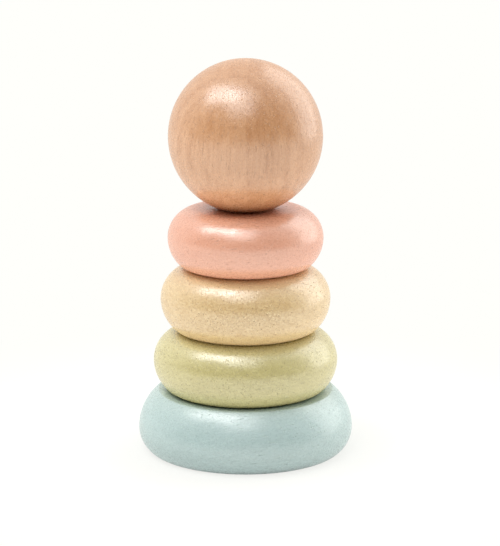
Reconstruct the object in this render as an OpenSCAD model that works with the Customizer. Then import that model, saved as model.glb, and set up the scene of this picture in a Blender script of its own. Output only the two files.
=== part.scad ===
// Stacking pyramid: a turned wooden base with a glued-in post, three loose rings of falling size
// and a drilled ball that caps the post. Millimetres, +Z up, with the origin at the centre of the
// base's underside.

/* [Base] */
// Diameter of the base
base_d = 88; // [80:1:110]
// Height of the base
base_h = 25; // [24:0.5:40]
// Height of the base's widest level
base_belly = 9; // [8:0.5:14]

/* [Rings] */
// Diameter of the large ring
large_ring_d = 75.5; // [66:0.5:90]
// Height of the large ring
large_ring_h = 25; // [24:0.5:36]
// Diameter of the middle ring
middle_ring_d = 69.5; // [60:0.5:82]
// Height of the middle ring
middle_ring_h = 26.5; // [24:0.5:36]
// How far the small ring stands out past the ball, all round
small_ring_proud = 0.5; // [-3:0.25:4]
// Height of the small ring
small_ring_h = 24; // [23:0.5:36]
// Gap all round between the post and a ring's hole
ring_play = 1.5; // [0.5:0.1:3]
// Radius of the edges of a ring's hole
ring_hole_edge = 1; // [0.5:0.25:3]

/* [Base and rings] */
// Radius of the edge between a bowed side and a flat face
face_edge = 1; // [0.5:0.25:3]

/* [Ball] */
// Diameter of the ball
ball_d = 62.5; // [54:0.5:80]
// Width of the flat on the ball that sits on the small ring
ball_seat_w = 1; // [0.5:0.25:4]
// Gap all round between the post and the ball's socket
ball_play = 1; // [0.5:0.1:2]
// Gap between the post's tip and the end of the ball's socket
ball_tip_gap = 2; // [0.5:0.5:6]
// Chamfer round the mouth of the ball's socket
ball_mouth_chamfer = 1; // [0.5:0.25:1.5]

/* [Post] */
// Diameter of the post
post_d = 14; // [11:0.5:20]
// Length of the post inside the base
post_tenon = 18.5; // [12:0.5:23]
// Length of the post inside the ball
post_reach = 30; // [16:1:36]
// Radius of the post's tip
post_tip_edge = 5; // [1:0.5:6]
// Radius of the post's foot
post_foot_edge = 1; // [0.5:0.25:2]
// Glue gap all round the post in the base
glue_gap = 0.1; // [0.05:0.05:0.3]

/* [Hidden] */
$fn = 128;

blue_stain = "#b5d3d6";
green_stain = "#d2cf97";
yellow_stain = "#eed3a0";
pink_stain = "#f0b59e";
bare_wood = "#dcae84";

// How far a cutting shape runs past the face that it cuts
past = 1;
// Least flat left beside a rounded edge
least_flat = 0.5;
// Cosine and sine of the lean at which a bowed side ends, from a 3-4-5 triangle
lean_cos = 0.6;
lean_sin = 0.8;

// Holes that take the post
base_hole_r = post_d / 2 + glue_gap;
ring_hole_r = post_d / 2 + ring_play;
ball_hole_r = post_d / 2 + ball_play;

// The small ring follows the ball's outline
small_ring_d = ball_d + 2 * small_ring_proud;

// Heights at which the pieces sit, each on the one under it
large_ring_z = base_h;
middle_ring_z = large_ring_z + large_ring_h;
small_ring_z = middle_ring_z + middle_ring_h;
ball_z = small_ring_z + small_ring_h;
post_foot_z = base_h - post_tenon;
post_l = ball_z + post_reach - post_foot_z;

// The flat under the ball, which takes a slice off its lowest point
ball_seat_r = ring_hole_r + ring_hole_edge + ball_seat_w;
ball_centre_h = sqrt(pow(ball_d / 2, 2) - pow(ball_seat_r, 2));
ball_hole_depth = post_reach + ball_tip_gap;

// Quarter of a disc, in the corner between +X and +Y
module quarter(r) {
    intersection() {
        circle(r);
        square(r);
    }
}

// Half section of a bowed side: an arc from the widest level, where the radius is r, to the lean at
// which it ends, then a small round edge to the flat face at height reach
module side_section(r, reach) {
    bow = (reach - face_edge) / lean_sin + face_edge;
    edge_x = r - bow + (bow - face_edge) * lean_cos;
    meet = bow * lean_sin;
    square([edge_x, reach]);
    intersection() {
        translate([r - bow, 0]) circle(bow);
        translate([edge_x, 0]) square([bow, meet]);
    }
    intersection() {
        translate([edge_x, reach - face_edge]) circle(face_edge);
        translate([edge_x, meet]) square([face_edge, reach - meet]);
    }
}

// Half section of a round shoulder, from the widest level, where the radius is r, to the flat face at
// height reach
module shoulder_section(r, reach) {
    square([r - reach, reach]);
    translate([r - reach, 0]) quarter(reach);
}

// Half section of a dowel of radius r and length h with rounded ends. An edge that is too round for
// the dowel gives way to it.
module dowel_section(r, h, top_edge, foot_edge) {
    foot = min(foot_edge, r - least_flat, (h - least_flat) / 2);
    top = min(top_edge, r - least_flat, h - foot - least_flat);
    translate([0, foot]) square([r, h - top - foot]);
    translate([0, h - top]) square([r - top, top]);
    square([r - foot, foot]);
    translate([r - top, h - top]) quarter(top);
    translate([r - foot, foot]) mirror([0, 1]) quarter(foot);
}

// Half section of the flare at the lower mouth of a hole of radius r
module mouth_section(r, edge) {
    difference() {
        translate([0, -past]) square([r + edge, edge + past]);
        translate([r + edge, edge]) circle(edge);
    }
}

// Half section of a hole of radius r through height h, with both its mouths rounded
module hole_section(r, h, edge) {
    translate([0, -past]) square([r, h + 2 * past]);
    mouth_section(r, edge);
    translate([0, h]) mirror([0, 1]) mouth_section(r, edge);
}

// Loose ring of outer diameter d and height h, standing on z = 0, round above and bowed below
module ring(d, h) {
    rotate_extrude() difference() {
        translate([0, h / 2]) {
            shoulder_section(d / 2, h / 2);
            mirror([0, 1]) side_section(d / 2, h / 2);
        }
        hole_section(ring_hole_r, h, ring_hole_edge);
    }
}

module base() {
    color(blue_stain) difference() {
        rotate_extrude() translate([0, base_belly]) {
            side_section(base_d / 2, base_h - base_belly);
            mirror([0, 1]) side_section(base_d / 2, base_belly);
        }
        translate([0, 0, post_foot_z]) cylinder(r = base_hole_r, h = post_tenon + past);
    }
}

// Dowel from the floor of the base's hole to inside the ball
module post() {
    color(bare_wood) translate([0, 0, post_foot_z])
        rotate_extrude() dowel_section(post_d / 2, post_l, post_tip_edge, post_foot_edge);
}

module large_ring() {
    color(green_stain) translate([0, 0, large_ring_z]) ring(large_ring_d, large_ring_h);
}

module middle_ring() {
    color(yellow_stain) translate([0, 0, middle_ring_z]) ring(middle_ring_d, middle_ring_h);
}

module small_ring() {
    color(pink_stain) translate([0, 0, small_ring_z]) ring(small_ring_d, small_ring_h);
}

// Ball with a flat seat underneath and a blind hole up into it
module ball() {
    color(bare_wood) translate([0, 0, ball_z]) difference() {
        translate([0, 0, ball_centre_h]) sphere(d = ball_d);
        translate([0, 0, -ball_d]) cylinder(r = ball_d, h = ball_d);
        translate([0, 0, -past]) cylinder(r = ball_hole_r, h = ball_hole_depth + past);
        translate([0, 0, -past]) cylinder(
            r1 = ball_hole_r + ball_mouth_chamfer + past,
            r2 = ball_hole_r,
            h = ball_mouth_chamfer + past
        );
    }
}

base();
post();
large_ring();
middle_ring();
small_ring();
ball();
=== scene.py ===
"""Looks of a wooden stacking pyramid: turned and stained rings, a natural ball and a bare dowel post.

Sizes of the pieces are in millimetres and become metres where a mesh is made. Every piece is a surface
of revolution about the Z axis, worked out from its half section. The stage is in metres and watts.
"""
import math

import bpy
import numpy as np
from mathutils import Matrix, Vector


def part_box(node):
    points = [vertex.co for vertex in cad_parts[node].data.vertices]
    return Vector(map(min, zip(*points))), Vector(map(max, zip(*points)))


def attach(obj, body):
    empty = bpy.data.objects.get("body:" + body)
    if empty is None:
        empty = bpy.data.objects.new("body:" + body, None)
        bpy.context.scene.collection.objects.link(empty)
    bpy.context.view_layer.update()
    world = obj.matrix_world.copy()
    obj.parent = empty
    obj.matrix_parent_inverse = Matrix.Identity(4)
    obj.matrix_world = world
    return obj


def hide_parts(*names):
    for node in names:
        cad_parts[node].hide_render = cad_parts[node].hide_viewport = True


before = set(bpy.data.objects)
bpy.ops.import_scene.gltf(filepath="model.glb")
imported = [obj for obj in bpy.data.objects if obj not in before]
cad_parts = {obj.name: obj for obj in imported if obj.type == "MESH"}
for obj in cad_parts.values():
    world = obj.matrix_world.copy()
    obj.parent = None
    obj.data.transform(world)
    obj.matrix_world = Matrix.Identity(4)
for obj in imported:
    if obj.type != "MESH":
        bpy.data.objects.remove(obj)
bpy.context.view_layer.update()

MM = 0.001

# Edges and holes of the turned pieces; the feet have rounder edges than the other faces
BASE_BELLY = 9.0
FACE_EDGE = 1.0
BASE_FOOT_EDGE = 3.0
RING_FOOT_EDGE = 5.5
RING_HOLE_R = 8.5
RING_HOLE_EDGE = 1.0
BALL_HOLE_R = 8.0
BALL_HOLE_DEPTH = 32.0
BALL_MOUTH_CHAMFER = 1.0
BALL_SEAT_R = 10.5
BASE_HOLE_R = 7.1
BASE_HOLE_EDGE = 0.4
POST_TIP_EDGE = 5.0
POST_FOOT_EDGE = 1.0

# Sine of the lean at which a bowed side meets an edge of FACE_EDGE
LEAN_SIN = 0.8

# How finely a section and its turn are divided, and how near two points count as one
SECTION_STEP = 0.7
ARC_LEAST_STEPS = 8
TURN_STEPS = 256
SHARP_ANGLE = math.radians(35)
SAME_POINT = 1e-6

# Hand sanding takes a little off the round, never adds to it
SANDED_DEPTH = 0.12

# Waves of the sanding: how many in a turn, how many in WAVE_RUN along the axis, and their share
SANDING_WAVES = ((2, 0.02, 0.5), (3, -0.05, 0.3), (7, 0.11, 0.12), (11, -0.2, 0.08))
WAVE_RUN = 10

# Share of the outer radius where the sanding starts, and the share over which it grows to its full depth
SANDING_START = 0.55
SANDING_GROWTH = 0.3

# Share of the map's edge that stays empty, and the least width of a band of the map near the axis
MAP_MARGIN = 0.004
MAP_LEAST_SHARE = 0.35


# Half sections

def line(start, end):
    """Points spaced evenly on the straight line from start to end."""
    start = np.asarray(start, float)
    end = np.asarray(end, float)
    steps = max(1, math.ceil(np.linalg.norm(end - start) / SECTION_STEP))
    share = np.linspace(0, 1, steps + 1)[:, None]
    return start + share * (end - start)


def arc(centre, radius, from_angle, to_angle):
    """Points spaced evenly on an arc: centre plus radius times (cos, sin) of an even run of angles."""
    turn = math.radians(abs(to_angle - from_angle))
    steps = max(ARC_LEAST_STEPS, math.ceil(radius * turn / SECTION_STEP))
    angle = np.radians(np.linspace(from_angle, to_angle, steps + 1))
    return np.asarray(centre, float) + radius * np.c_[np.cos(angle), np.sin(angle)]


def joined(*runs):
    """The runs end to end, with each point that repeats the one before it left out."""
    points = np.concatenate(runs)
    apart = np.linalg.norm(np.diff(points, axis=0), axis=1) > SAME_POINT
    return points[np.r_[True, apart]]


def node_span(node):
    """Outer radius, lowest and highest level of a CAD node, in millimetres."""
    low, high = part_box(node)
    return high.x / MM, low.z / MM, high.z / MM


def side(radius, reach, edge):
    """A bowed side from the widest level, at height 0, to a flat face at height reach.

    The bow is an arc whose radius fits an edge of FACE_EDGE at the lean. It runs up to where a round
    edge of the given radius touches it, and that edge goes on from there to the face.
    """
    bow = (reach - FACE_EDGE) / LEAN_SIN + FACE_EDGE
    lean = math.asin((reach - edge) / (bow - edge))
    centre = (radius - bow + (bow - edge) * math.cos(lean), reach - edge)
    turn = math.degrees(lean)
    return joined(arc((radius - bow, 0), bow, 0, turn), arc(centre, edge, turn, 90))


def bowed_foot(radius, low, belly, edge):
    """A disc's outside from its underside up to its widest level, called the belly."""
    return side(radius, belly - low, edge)[::-1] * (1, -1) + (0, belly)


def ring_section(node):
    """Closed half section of a ring.

    It goes up the bowed foot and the round shoulder, in along the top flat, down the hole with its two
    rounded mouths and out along the lower flat.
    """
    radius, low, high = node_span(node)
    belly = (low + high) / 2
    shoulder = arc((radius - (high - belly), belly), high - belly, 0, 90)
    outside = joined(bowed_foot(radius, low, belly, RING_FOOT_EDGE), shoulder)
    mouth = RING_HOLE_R + RING_HOLE_EDGE
    upper = arc((mouth, high - RING_HOLE_EDGE), RING_HOLE_EDGE, 90, 180)
    lower = arc((mouth, low + RING_HOLE_EDGE), RING_HOLE_EDGE, 180, 270)
    return joined(
        outside,
        line(outside[-1], upper[0]),
        upper,
        line(upper[-1], lower[0]),
        lower,
        line(lower[-1], outside[0]),
    )[:-1]


def base_section():
    """Half section of the base: underside, rim, top and the blind hole for the post, from axis to axis."""
    radius, low, high = node_span("base")
    floor = node_span("post")[1]
    belly = low + BASE_BELLY
    foot = bowed_foot(radius, low, belly, BASE_FOOT_EDGE)
    outside = joined(foot, side(radius, high - belly, FACE_EDGE) + (0, belly))
    lip = arc((BASE_HOLE_R + BASE_HOLE_EDGE, high - BASE_HOLE_EDGE), BASE_HOLE_EDGE, 90, 180)
    return joined(
        line((0, low), outside[0]),
        outside,
        line(outside[-1], lip[0]),
        lip,
        line(lip[-1], (BASE_HOLE_R, floor)),
        line((BASE_HOLE_R, floor), (0, floor)),
    )


def post_section():
    """Half section of the dowel, from the middle of its foot to the middle of its rounded tip."""
    radius, low, high = node_span("post")
    foot = arc((radius - POST_FOOT_EDGE, low + POST_FOOT_EDGE), POST_FOOT_EDGE, -90, 0)
    tip = arc((radius - POST_TIP_EDGE, high - POST_TIP_EDGE), POST_TIP_EDGE, 0, 90)
    return joined(line((0, low), foot[0]), foot, line(foot[-1], tip[0]), tip, line(tip[-1], (0, high)))


def ball_section():
    """Half section of the ball: the blind hole, from its end to its chamfered mouth, the seat and the sphere.

    The sphere's radius follows from its height over the seat and the seat's radius: half the sum of
    their squares, divided by the height.
    """
    _, low, high = node_span("ball")
    radius = ((high - low) ** 2 + BALL_SEAT_R ** 2) / (2 * (high - low))
    centre = high - radius
    seat_angle = math.degrees(math.atan2(low - centre, BALL_SEAT_R))
    hole_end = low + BALL_HOLE_DEPTH
    mouth = (BALL_HOLE_R, low + BALL_MOUTH_CHAMFER)
    flare = (BALL_HOLE_R + BALL_MOUTH_CHAMFER, low)
    sphere = arc((0, centre), radius, seat_angle, 90)
    sphere[-1, 0] = 0
    return joined(
        line((0, hole_end), (BALL_HOLE_R, hole_end)),
        line((BALL_HOLE_R, hole_end), mouth),
        line(mouth, flare),
        line(flare, sphere[0]),
        sphere,
    )


# Meshes

def sanded(section, turn, outer_radius, seed):
    """How far each point is sanded in: a few slow waves, faded out near the axis.

    The depth is SANDED_DEPTH times a sum of cosines that run round the turn and along the section,
    moved to lie between 0 and 1.
    """
    phase = np.random.default_rng(seed).uniform(0, 2 * math.pi, len(SANDING_WAVES))
    along = section[:, 1:2]
    depth = sum(
        share * np.cos(count * turn + pitch * 2 * math.pi * along / WAVE_RUN + start)
        for (count, pitch, share), start in zip(SANDING_WAVES, phase)
    )
    growth = np.clip((section[:, :1] / outer_radius - SANDING_START) / SANDING_GROWTH, 0, 1)
    return SANDED_DEPTH * (0.5 + 0.5 * depth) * growth


def map_heights(section, closed):
    """Where each point of a section lies across the map, from 0 to 1.

    It is the share of the surface's area before the point, with the narrow bands near the axis widened
    to MAP_LEAST_SHARE of the widest.
    """
    ends = np.vstack([section, section[:1]]) if closed else section
    length = np.linalg.norm(np.diff(ends, axis=0), axis=1)
    middle = (ends[1:, 0] + ends[:-1, 0]) / 2
    area = np.r_[0, np.cumsum(length * np.maximum(middle, MAP_LEAST_SHARE * middle.max()))]
    return area / area[-1]


def map_corners(section, closed):
    """Where the four corners of every quad lie on the map, which lays two half turns above each other."""
    across = map_heights(section, closed)
    half = TURN_STEPS // 2
    here = np.arange(TURN_STEPS)
    bands = (len(across) - 1, TURN_STEPS)
    left = np.broadcast_to((here % half) / half, bands)
    right = left + 1 / half
    bottom = np.broadcast_to(across[:-1, None], bands)
    top = np.broadcast_to(across[1:, None], bands)
    upper = here // half
    u = np.stack([left, right, right, left], axis=-1)
    v = (np.stack([bottom, bottom, top, top], axis=-1) + upper[None, :, None]) / 2
    return MAP_MARGIN + (1 - 2 * MAP_MARGIN) * np.stack([u, v], axis=-1).reshape(-1, 4, 2)


def turned(name, section, closed=False, seed=0):
    """Surface of revolution: each (r, z) of the section goes to (r cos a, r sin a, z) for every angle a.

    The solid lies to the left of the section's direction, so faces point outwards. A point on the axis
    becomes one vertex, and a closed section joins its last point to its first.
    """
    rows = len(section)
    here = np.arange(TURN_STEPS)
    there = (here + 1) % TURN_STEPS
    turn = np.linspace(0, 2 * math.pi, TURN_STEPS, endpoint=False)[None, :]
    radius = section[:, :1] - sanded(section, turn, section[:, 0].max(), seed)
    grid = np.stack([
        radius * np.cos(turn),
        radius * np.sin(turn),
        np.broadcast_to(section[:, 1:2], radius.shape),
    ], axis=-1)

    on_axis = section[:, 0] < SAME_POINT
    count = np.where(on_axis, 1, TURN_STEPS)
    first = np.r_[0, np.cumsum(count)[:-1]]
    ids = first[:, None] + np.where(on_axis[:, None], 0, here[None, :])
    kept = ~on_axis[:, None] | (here[None, :] == 0)
    places = grid[kept] * MM

    near = np.arange(rows if closed else rows - 1)
    far = (near + 1) % rows
    quads = np.stack([
        ids[near][:, here], ids[near][:, there], ids[far][:, there], ids[far][:, here],
    ], axis=-1).reshape(-1, 4)
    uv = map_corners(section, closed)

    # A quad with one side on the axis loses the corner that repeats
    start_pole = quads[:, 0] == quads[:, 1]
    end_pole = quads[:, 2] == quads[:, 3]
    whole = ~(start_pole | end_pole)
    parts = (
        (quads[whole], uv[whole]),
        (quads[start_pole][:, [0, 2, 3]], uv[start_pole][:, [0, 2, 3]]),
        (quads[end_pole][:, [0, 1, 2]], uv[end_pole][:, [0, 1, 2]]),
    )
    faces = [face for corners, _ in parts for face in corners.tolist()]
    flat_map = np.concatenate([spots.reshape(-1, 2) for _, spots in parts])

    mesh = bpy.data.meshes.new(name)
    mesh.from_pydata(places.tolist(), [], faces)
    mesh.uv_layers.new(name="OFBake").data.foreach_set("uv", flat_map.astype(np.float32).ravel())
    mesh.polygons.foreach_set("use_smooth", np.ones(len(mesh.polygons), bool))
    mesh.set_sharp_from_angle(angle=SHARP_ANGLE)
    mesh.update()
    piece = bpy.data.objects.new(name, mesh)
    bpy.context.scene.collection.objects.link(piece)
    return piece


# Shader nodes

# Sockets of a Mix node: its share, its two numbers, its two colours, and what it gives of each
MIX_SHARE = 0
MIX_NUMBERS = (2, 3)
MIX_COLOURS = (6, 7)
MIXED_NUMBER = 0
MIXED_COLOUR = 2


def put(tree, kind, inputs=None, **settings):
    """A new node with its settings, and with each named input set to a value or fed by an output."""
    made = tree.nodes.new(kind)
    for key, value in settings.items():
        setattr(made, key, value)
    for key, value in (inputs or {}).items():
        if isinstance(value, bpy.types.NodeSocket):
            tree.links.new(value, made.inputs[key])
        else:
            made.inputs[key].default_value = value
    return made


def maths(tree, operation, *values, clamp=False):
    """The output of a Math node on values or outputs."""
    made = put(tree, "ShaderNodeMath", dict(enumerate(values)), operation=operation, use_clamp=clamp)
    return made.outputs[0]


def vectors(tree, operation, *values):
    """The output of a Vector Math node on vectors or outputs: a number for a length or a dot product."""
    made = put(tree, "ShaderNodeVectorMath", dict(enumerate(values)), operation=operation)
    return made.outputs["Value" if operation in ("LENGTH", "DOT_PRODUCT") else "Vector"]


def mixed_colour(tree, share, first, second):
    """A colour that goes from the first to the second as the share goes from 0 to 1."""
    inputs = {MIX_SHARE: share, MIX_COLOURS[0]: first, MIX_COLOURS[1]: second}
    return put(tree, "ShaderNodeMix", inputs, data_type="RGBA").outputs[MIXED_COLOUR]


def fade(tree, value, nothing, full, kind="SMOOTHSTEP"):
    """0 where a value is at or short of nothing, 1 from full on, and a smooth or linear run between."""
    inputs = {"Value": value, "From Min": nothing, "From Max": full, "To Min": 0.0, "To Max": 1.0}
    return put(tree, "ShaderNodeMapRange", inputs, interpolation_type=kind).outputs[0]


def swing(tree, value, amount, about=0.0):
    """A value from 0 to 1, turned into a change of up to half the amount either way and added to about."""
    lowest = maths(tree, "SUBTRACT", about, amount / 2)
    return maths(tree, "MULTIPLY_ADD", value, amount, lowest)


def noise(tree, place, scale, detail, roughness=0.5, output="Fac"):
    """Smooth noise at a place in grain space, with a scale across the grain and one along it."""
    across, along = scale
    inputs = {
        "Vector": vectors(tree, "MULTIPLY", place, (across, across, along)),
        "Scale": 1.0, "Detail": detail, "Roughness": roughness,
    }
    return put(tree, "ShaderNodeTexNoise", inputs).outputs[output]


def noise_along(tree, distance, detail):
    """Smooth noise from 0 to 1 that changes with one number."""
    inputs = {"W": distance, "Scale": 1.0, "Detail": detail}
    return put(tree, "ShaderNodeTexNoise", inputs, noise_dimensions="1D").outputs["Fac"]


# Wood

# Units of noise to a millimetre, across the grain and along it
WANDER_SCALE = (0.035, 0.012)
FIBRE_SCALE = (1.25, 0.045)
STREAK_SCALE = (0.42, 0.014)
CLOUD_SCALE = (0.05, 0.04)
SPECKLE_SCALE = (1.35, 0.8)
RIPPLE_SCALE = (0.5, 0.3)

# Cells to a millimetre, least and greatest radius, and length of the vessels, in millimetres
COARSE_PORES = {"per_mm": 0.8, "smallest": 0.12, "largest": 0.26, "length": 4.0}
FINE_PORES = {"per_mm": 1.5, "smallest": 0.08, "largest": 0.17, "length": 3.0}
FINE_PORE_SHARE = 0.6
FINE_PORES_SHALLOWER = 3

# Share of its radius within which a vessel is fully dark
PORE_CORE = 0.5

# How far apart two cells' noises lie, the noise at which a vessel opens, and how its share shifts that
PORE_APART = 900.0
PORE_OPENING = (0.42, 0.58)
PORE_SHIFT = 0.3

# Tone from which the grain swings to pale or deep
MIDDLE_TONE = 0.5

# How sharply end grain is told from side grain, and the share of its speckle that side grain has
END_GRAIN_POWER = 2.0
SIDE_SPECKLE = 0.25

# Distances from the glue line in millimetres, and how much deeper its colour is
GLUE_NEAR = 0.1
GLUE_FAR = 0.3
GLUE_LINE_TONE = 0.1

# The varnish, and how much the grain changes its roughness
VARNISH_IOR = 1.7
FIBRE_ROUGH = 0.1
SPECKLE_ROUGH = 0.35
PORE_ROUGH = 0.2

# Strengths of the grain's tones, of the pores, of the shine and of the relief, which is in millimetres
BARE_LOOK = {
    "bend": 5.0, "rings_per_mm": 0.3, "years": 0.4, "streaks": 0.8, "fibres": 0.9, "cloud": 0.3,
    "speckle": 0.5, "end_grain": 0.2, "pore_share": 0.55, "pore_dark": 0.22, "fine_dark": 0.18,
    "roughness": 0.29, "shine": 1.0,
    "ripple_mm": 0.05, "fibre_mm": 0.03, "speckle_mm": 0.018, "pore_mm": 0.1,
}
STAIN_LOOK = {
    **BARE_LOOK, "years": 0.3, "streaks": 0.4, "fibres": 0.7, "speckle": 2.4,
    "pore_dark": 0.55, "fine_dark": 0.35,
}


def pores(tree, place, share, per_mm, smallest, largest, length):
    """Vessels that run along the grain: scattered points across it, dark within a radius of their own.

    share is the part of the vessels that are open at any one level, per_mm is the number of cells to a
    millimetre, the radii are in millimetres, and length is about how many millimetres a vessel stays open.
    """
    cells = put(tree, "ShaderNodeTexVoronoi", {
        "Vector": vectors(tree, "MULTIPLY", place, (per_mm, per_mm, 0)), "Scale": 1.0, "Randomness": 1.0,
    }, voronoi_dimensions="2D")
    chance = put(tree, "ShaderNodeSeparateColor", {"Color": cells.outputs["Color"]}).outputs
    radius = maths(tree, "MULTIPLY_ADD", chance[0], (largest - smallest) * per_mm, smallest * per_mm)
    reach = maths(tree, "DIVIDE", cells.outputs["Distance"], radius)
    dark = fade(tree, reach, 1.0, PORE_CORE)

    level = put(tree, "ShaderNodeSeparateXYZ", {0: place}).outputs["Z"]
    along = maths(tree, "MULTIPLY_ADD", chance[1], PORE_APART, maths(tree, "DIVIDE", level, length))
    shift = PORE_SHIFT * (0.5 - share)
    shut, opened = (limit + shift for limit in PORE_OPENING)
    held = fade(tree, noise_along(tree, along, detail=0.0), shut, opened, kind="LINEAR")
    return maths(tree, "MULTIPLY", dark, held)


def glued(tree, own, straight, way, distance, shift):
    """Two blocks that meet at a plane, given by its direction and its distance from the axis.

    Gives the grain space with the second block's grain shifted, 1 in the second block, and 1 at the
    glue line.
    """
    beyond = vectors(tree, "DOT_PRODUCT", own, tuple(part / MM for part in way))
    beyond = maths(tree, "SUBTRACT", beyond, distance)
    second = maths(tree, "GREATER_THAN", beyond, 0.0)
    seam = fade(tree, maths(tree, "ABSOLUTE", beyond), GLUE_FAR, GLUE_NEAR)
    return vectors(tree, "MULTIPLY_ADD", second, shift, straight), second, seam


def wood(name, pale, deep, pore_colour, grain, pith, look, glue=None):
    """Solid wood in the piece's own space, under a satin varnish.

    Growth rings lie round a pith, streaks and fibres run along the grain, and open pores show as dots
    on end grain and dashes on side grain. pale and deep are the two ends of the colour, grain is the way
    that the fibres run, pith is how far the growth rings are shifted in grain space, in millimetres, and
    look holds the strengths. glue, if there is one, joins two blocks at a plane and gives how much deeper
    the second block's colour is: partly that block's own tone, partly painted shade on that side of the
    piece.
    """
    material = bpy.data.materials.new(name)
    material.use_nodes = True
    tree = material.node_tree
    shader = tree.nodes["Principled BSDF"]

    fibre_way = Vector(grain).normalized()
    own = put(tree, "ShaderNodeTexCoord").outputs["Object"]
    straight = put(tree, "ShaderNodeMapping", {
        "Vector": own,
        "Location": pith,
        "Rotation": fibre_way.rotation_difference(Vector((0, 0, 1))).to_euler("XYZ"),
        "Scale": (1 / MM, 1 / MM, 1 / MM),
    }, vector_type="POINT").outputs[0]
    if glue:
        straight, second, seam = glued(tree, own, straight, glue["way"], glue["distance"], glue["shift"])

    wander = noise(tree, straight, WANDER_SCALE, detail=1.0, output="Color")
    place = vectors(tree, "MULTIPLY_ADD", wander, (look["bend"], look["bend"], 0), straight)
    radius = vectors(tree, "LENGTH", vectors(tree, "MULTIPLY", place, (1, 1, 0)))
    years = noise_along(tree, maths(tree, "MULTIPLY", radius, look["rings_per_mm"]), detail=2.0)
    fibres = noise(tree, place, FIBRE_SCALE, detail=4.0, roughness=0.72)
    streaks = noise(tree, place, STREAK_SCALE, detail=3.0, roughness=0.55)
    cloud = noise(tree, place, CLOUD_SCALE, detail=2.0)
    speckle = noise(tree, place, SPECKLE_SCALE, detail=2.0, roughness=0.6)
    ripple = noise(tree, place, RIPPLE_SCALE, detail=3.0)
    coarse = pores(tree, place, look["pore_share"], **COARSE_PORES)
    fine = pores(tree, place, FINE_PORE_SHARE, **FINE_PORES)

    normal = put(tree, "ShaderNodeNewGeometry").outputs["Normal"]
    facing = vectors(tree, "DOT_PRODUCT", normal, fibre_way)
    end_grain = maths(tree, "POWER", maths(tree, "ABSOLUTE", facing), END_GRAIN_POWER)

    depth = swing(tree, years, look["years"], MIDDLE_TONE)
    depth = swing(tree, streaks, look["streaks"], depth)
    depth = swing(tree, fibres, look["fibres"], depth)
    depth = swing(tree, cloud, look["cloud"], depth)
    dotted = maths(tree, "MULTIPLY_ADD", end_grain, 1 - SIDE_SPECKLE, SIDE_SPECKLE)
    depth = maths(tree, "MULTIPLY_ADD", swing(tree, speckle, look["speckle"]), dotted, depth)
    depth = maths(tree, "MULTIPLY_ADD", end_grain, look["end_grain"], depth)
    if glue:
        # The second block's deeper colour is partly its own tone and partly painted shade on that side of the
        # piece
        depth = maths(tree, "MULTIPLY_ADD", second, glue["block_tone_and_shade"], depth)
        depth = maths(tree, "MULTIPLY_ADD", seam, GLUE_LINE_TONE, depth)
    depth = maths(tree, "MAXIMUM", maths(tree, "MINIMUM", depth, 1.0), 0.0)
    body = mixed_colour(tree, depth, (*pale, 1), (*deep, 1))

    open_pores = maths(tree, "MULTIPLY", coarse, look["pore_dark"])
    small_pores = maths(tree, "MULTIPLY", fine, look["fine_dark"])
    dark = maths(tree, "MAXIMUM", open_pores, small_pores)
    tree.links.new(mixed_colour(tree, dark, body, (*pore_colour, 1)), shader.inputs["Base Color"])

    rough = swing(tree, fibres, FIBRE_ROUGH, look["roughness"])
    rough = swing(tree, speckle, SPECKLE_ROUGH, rough)
    rough = maths(tree, "MULTIPLY_ADD", coarse, PORE_ROUGH, rough, clamp=True)
    tree.links.new(rough, shader.inputs["Roughness"])

    height = maths(tree, "MULTIPLY", ripple, look["ripple_mm"])
    height = maths(tree, "MULTIPLY_ADD", fibres, look["fibre_mm"], height)
    height = maths(tree, "MULTIPLY_ADD", speckle, look["speckle_mm"], height)
    height = maths(tree, "MULTIPLY_ADD", coarse, -look["pore_mm"], height)
    height = maths(tree, "MULTIPLY_ADD", fine, -look["pore_mm"] / FINE_PORES_SHALLOWER, height)
    relief = put(tree, "ShaderNodeBump", {"Height": height, "Strength": 1.0, "Distance": MM}).outputs[0]
    tree.links.new(relief, shader.inputs["Normal"])
    shader.inputs["Specular IOR Level"].default_value = look["shine"]
    shader.inputs["IOR"].default_value = VARNISH_IOR
    return material


# Pieces

def dress(piece, node, body, material):
    """Puts a turned piece in the place of its CAD node, on its body, in its finish."""
    piece.data.materials.append(material)
    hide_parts(node)
    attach(piece, body)


BARE_PORE = (0.16, 0.075, 0.03)
natural = wood(
    "natural_wood", pale=(0.78, 0.445, 0.245), deep=(0.505, 0.23, 0.095), pore_colour=BARE_PORE,
    grain=(0.05, -0.15, 1), pith=(22, 40, 0),
    look={**BARE_LOOK, "pore_dark": 0.09, "fine_dark": 0.08, "fibres": 1.1, "shine": 0.9},
    # The second block's deeper colour is partly painted shade for the darker band right of the ball's middle
    glue={"way": (1, -0.05, 0), "distance": 2.0, "shift": (31, 57, 23), "block_tone_and_shade": 0.13},
)
dowel = wood(
    "dowel_wood", pale=(0.80, 0.57, 0.37), deep=(0.58, 0.35, 0.19), pore_colour=BARE_PORE,
    grain=(0.03, 0.02, 1), pith=(40, 12, 0), look=BARE_LOOK,
)
blue = wood(
    "blue_stain", pale=(0.565, 0.7, 0.695), deep=(0.42, 0.565, 0.55), pore_colour=(0.25, 0.3, 0.27),
    grain=(1, 0.15, 0.05), pith=(30, 20, 0),
    look={
        **STAIN_LOOK, "fibres": 0.4, "speckle": 0.5,
        "pore_share": 0.3, "pore_dark": 0.15, "fine_dark": 0.1, "shine": 0.7,
    },
)
green = wood(
    "green_stain", pale=(0.745, 0.67, 0.325), deep=(0.53, 0.46, 0.187), pore_colour=(0.28, 0.18, 0.05),
    grain=(0.15, -1, 0.1), pith=(25, 45, 0), look=STAIN_LOOK,
)
yellow = wood(
    "yellow_stain", pale=(0.91, 0.70, 0.395), deep=(0.655, 0.435, 0.195), pore_colour=(0.36, 0.18, 0.05),
    grain=(-0.1, -1, 0.05), pith=(35, 30, 0), look={**STAIN_LOOK, "speckle": 3.6},
)
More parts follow.
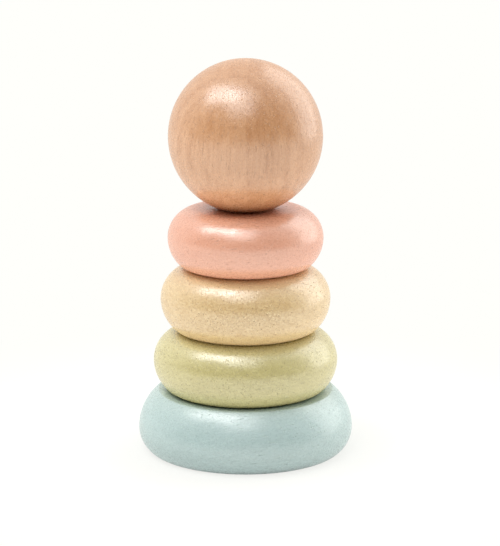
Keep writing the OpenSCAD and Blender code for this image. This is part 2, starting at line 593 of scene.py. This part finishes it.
pink = wood(
    "pink_stain", pale=(0.895, 0.475, 0.325), deep=(0.735, 0.33, 0.21), pore_colour=(0.3, 0.11, 0.06),
    grain=(1, -0.12, 0.12), pith=(18, 28, 0),
    look={
        **STAIN_LOOK, "years": 0.5, "fibres": 0.45, "speckle": 0.5,
        "pore_share": 0.3, "pore_dark": 0.25, "fine_dark": 0.1,
    },
)

dress(turned("base_disc", base_section(), seed=1), "base", "base", blue)
dress(turned("post_dowel", post_section(), seed=2), "post", "base", dowel)
for ring_name, ring_node, ring_seed, ring_slot, ring_stain in (
    ("large_ring_disc", "large_ring", 3, "green_stain", green),
    ("middle_ring_disc", "middle_ring", 4, "yellow_stain", yellow),
    ("small_ring_disc", "small_ring", 5, "pink_stain", pink),
):
    ring = turned(ring_name, ring_section(ring_node), closed=True, seed=ring_seed)
    dress(ring, ring_node, ring_node, ring_stain)
dress(turned("ball_top", ball_section(), seed=6), "ball", "ball", natural)


# Stage

FLOOR_HALF = 6.0
FLOOR_COLOUR = (0.88, 0.88, 0.87, 1)
WHITE = (1, 1, 0.966, 1)

# Distances from the axis between which the floor's shadow fades, and how much of the shadow is kept
SHADOW_NEAR = 0.03
SHADOW_FAR = 0.2
SHADOW_SHARE = 0.2

# Distances from the axis between which the floor's own light grows, and its strength
GLOW_NEAR = 0.044
GLOW_FAR = 0.085
GLOW = 0.5

# Middle of the tent's white side, where its white starts and is full, by the cosine of the angle to it
TENT_WAY = (0.0, 0.94, 0.33)
TENT_EDGE = (-0.5, 0.6)
TENT_LIGHT = 0.97
DARK_ROOM = 0.02

LIGHT_AIM = Vector((0, 0, 0.1))


def seen_directly(tree):
    """1 for rays from the camera, or from it by a mirror or through glass, and 0 for light that spreads."""
    path = put(tree, "ShaderNodeLightPath")
    glossy = maths(tree, "MAXIMUM", path.outputs["Is Camera Ray"], path.outputs["Is Glossy Ray"])
    return maths(tree, "MAXIMUM", glossy, path.outputs["Is Transmission Ray"])


def white_floor():
    """A wide pale floor, lit from below like a light table except under the toy.

    It shows white, and keeps a share of the shadow close to the toy.
    """
    corners = [(x * FLOOR_HALF, y * FLOOR_HALF, 0) for x, y in ((-1, -1), (1, -1), (1, 1), (-1, 1))]
    mesh = bpy.data.meshes.new("floor")
    mesh.from_pydata(corners, [], [(0, 1, 2, 3)])
    floor = bpy.data.objects.new("floor", mesh)
    bpy.context.scene.collection.objects.link(floor)

    material = bpy.data.materials.new("white_floor")
    material.use_nodes = True
    tree = material.node_tree
    tree.nodes.remove(tree.nodes["Principled BSDF"])
    away = vectors(tree, "LENGTH", put(tree, "ShaderNodeTexCoord").outputs["Object"])
    clear = fade(tree, away, SHADOW_NEAR, SHADOW_FAR)
    white = maths(tree, "MULTIPLY_ADD", clear, SHADOW_SHARE, 1 - SHADOW_SHARE)
    share = maths(tree, "MULTIPLY", white, seen_directly(tree))
    diffuse = put(tree, "ShaderNodeBsdfDiffuse", {"Color": FLOOR_COLOUR}).outputs[0]
    glow = maths(tree, "MULTIPLY", fade(tree, away, GLOW_NEAR, GLOW_FAR), GLOW)
    table = put(tree, "ShaderNodeEmission", {"Color": WHITE, "Strength": glow}).outputs[0]
    lit = put(tree, "ShaderNodeAddShader", {0: diffuse, 1: table}).outputs[0]
    light = put(tree, "ShaderNodeEmission", {"Color": WHITE, "Strength": 1.0}).outputs[0]
    mixed = put(tree, "ShaderNodeMixShader", {0: share, 1: lit, 2: light}).outputs[0]
    tree.links.new(mixed, tree.nodes["Material Output"].inputs["Surface"])
    floor.data.materials.append(material)


def studio_world():
    """A white tent behind and above the toy, dark on the camera's side.

    Where the camera sees past the floor, it sees plain white.
    """
    world = bpy.data.worlds.new("studio")
    bpy.context.scene.world = world
    world.use_nodes = True
    tree = world.node_tree
    sky = tree.nodes["Background"]
    way = put(tree, "ShaderNodeTexCoord").outputs["Generated"]
    facing = vectors(tree, "DOT_PRODUCT", way, TENT_WAY)
    level = maths(tree, "MULTIPLY_ADD", fade(tree, facing, *TENT_EDGE), TENT_LIGHT, DARK_ROOM)
    seen = put(tree, "ShaderNodeLightPath").outputs["Is Camera Ray"]
    inputs = {MIX_SHARE: seen, MIX_NUMBERS[0]: level, MIX_NUMBERS[1]: 1.0}
    shown = put(tree, "ShaderNodeMix", inputs).outputs[MIXED_NUMBER]
    tree.links.new(shown, sky.inputs["Strength"])
    sky.inputs["Color"].default_value = WHITE


def softbox(name, way, along, distance, length, width, power, colour=(1, 1, 1)):
    """A rectangular area light that faces the toy from a direction, with its length set along a line."""
    lamp = bpy.data.lights.new(name, "AREA")
    lamp.shape = "RECTANGLE"
    lamp.size = length
    lamp.size_y = width
    lamp.energy = power
    lamp.color = colour
    holder = bpy.data.objects.new(name, lamp)
    out = Vector(way).normalized()
    across = Vector(along).cross(out).normalized()
    holder.matrix_world = Matrix((out.cross(across), across, out)).transposed().to_4x4()
    holder.location = LIGHT_AIM + out * distance
    bpy.context.scene.collection.objects.link(holder)


white_floor()
studio_world()
softbox(
    "key_softbox", way=(-0.44, -0.15, 0.885), along=(-0.73, 0.59, -0.35), distance=1.1,
    length=0.84, width=0.42, power=5.3,
)
softbox(
    "front_softbox", way=(-0.1, -0.5, 0.86), along=(0, 0.86, 0.5), distance=1.1,
    length=0.8, width=0.7, power=3.8,
)
softbox(
    "side_softbox", way=(0.76, 0.48, 0.43), along=(-0.61, 0.31, 0.73), distance=1.0,
    length=1.5, width=0.8, power=5.8, colour=(1, 0.985, 0.95),
)


# Camera, from a fit of the toy's outline in the 500 by 546 picture

PICTURE_HIGH = 546
FOCAL_PX = 2289.9
SENSOR = 36.0
CAMERA_PLACE = (1.82 * MM, -907.6 * MM, 290.0 * MM)
CAMERA_PITCH = 0.2343
CAMERA_REACH = 50

lens = bpy.data.cameras.new("camera")
lens.sensor_width = SENSOR
lens.lens = FOCAL_PX * SENSOR / PICTURE_HIGH
lens.clip_end = CAMERA_REACH
camera = bpy.data.objects.new("camera", lens)
camera.location = CAMERA_PLACE
camera.rotation_euler = (math.pi / 2 - CAMERA_PITCH, 0, 0)
bpy.context.scene.collection.objects.link(camera)
bpy.context.scene.camera = camera
bpy.context.scene.view_settings.view_transform = "Standard"
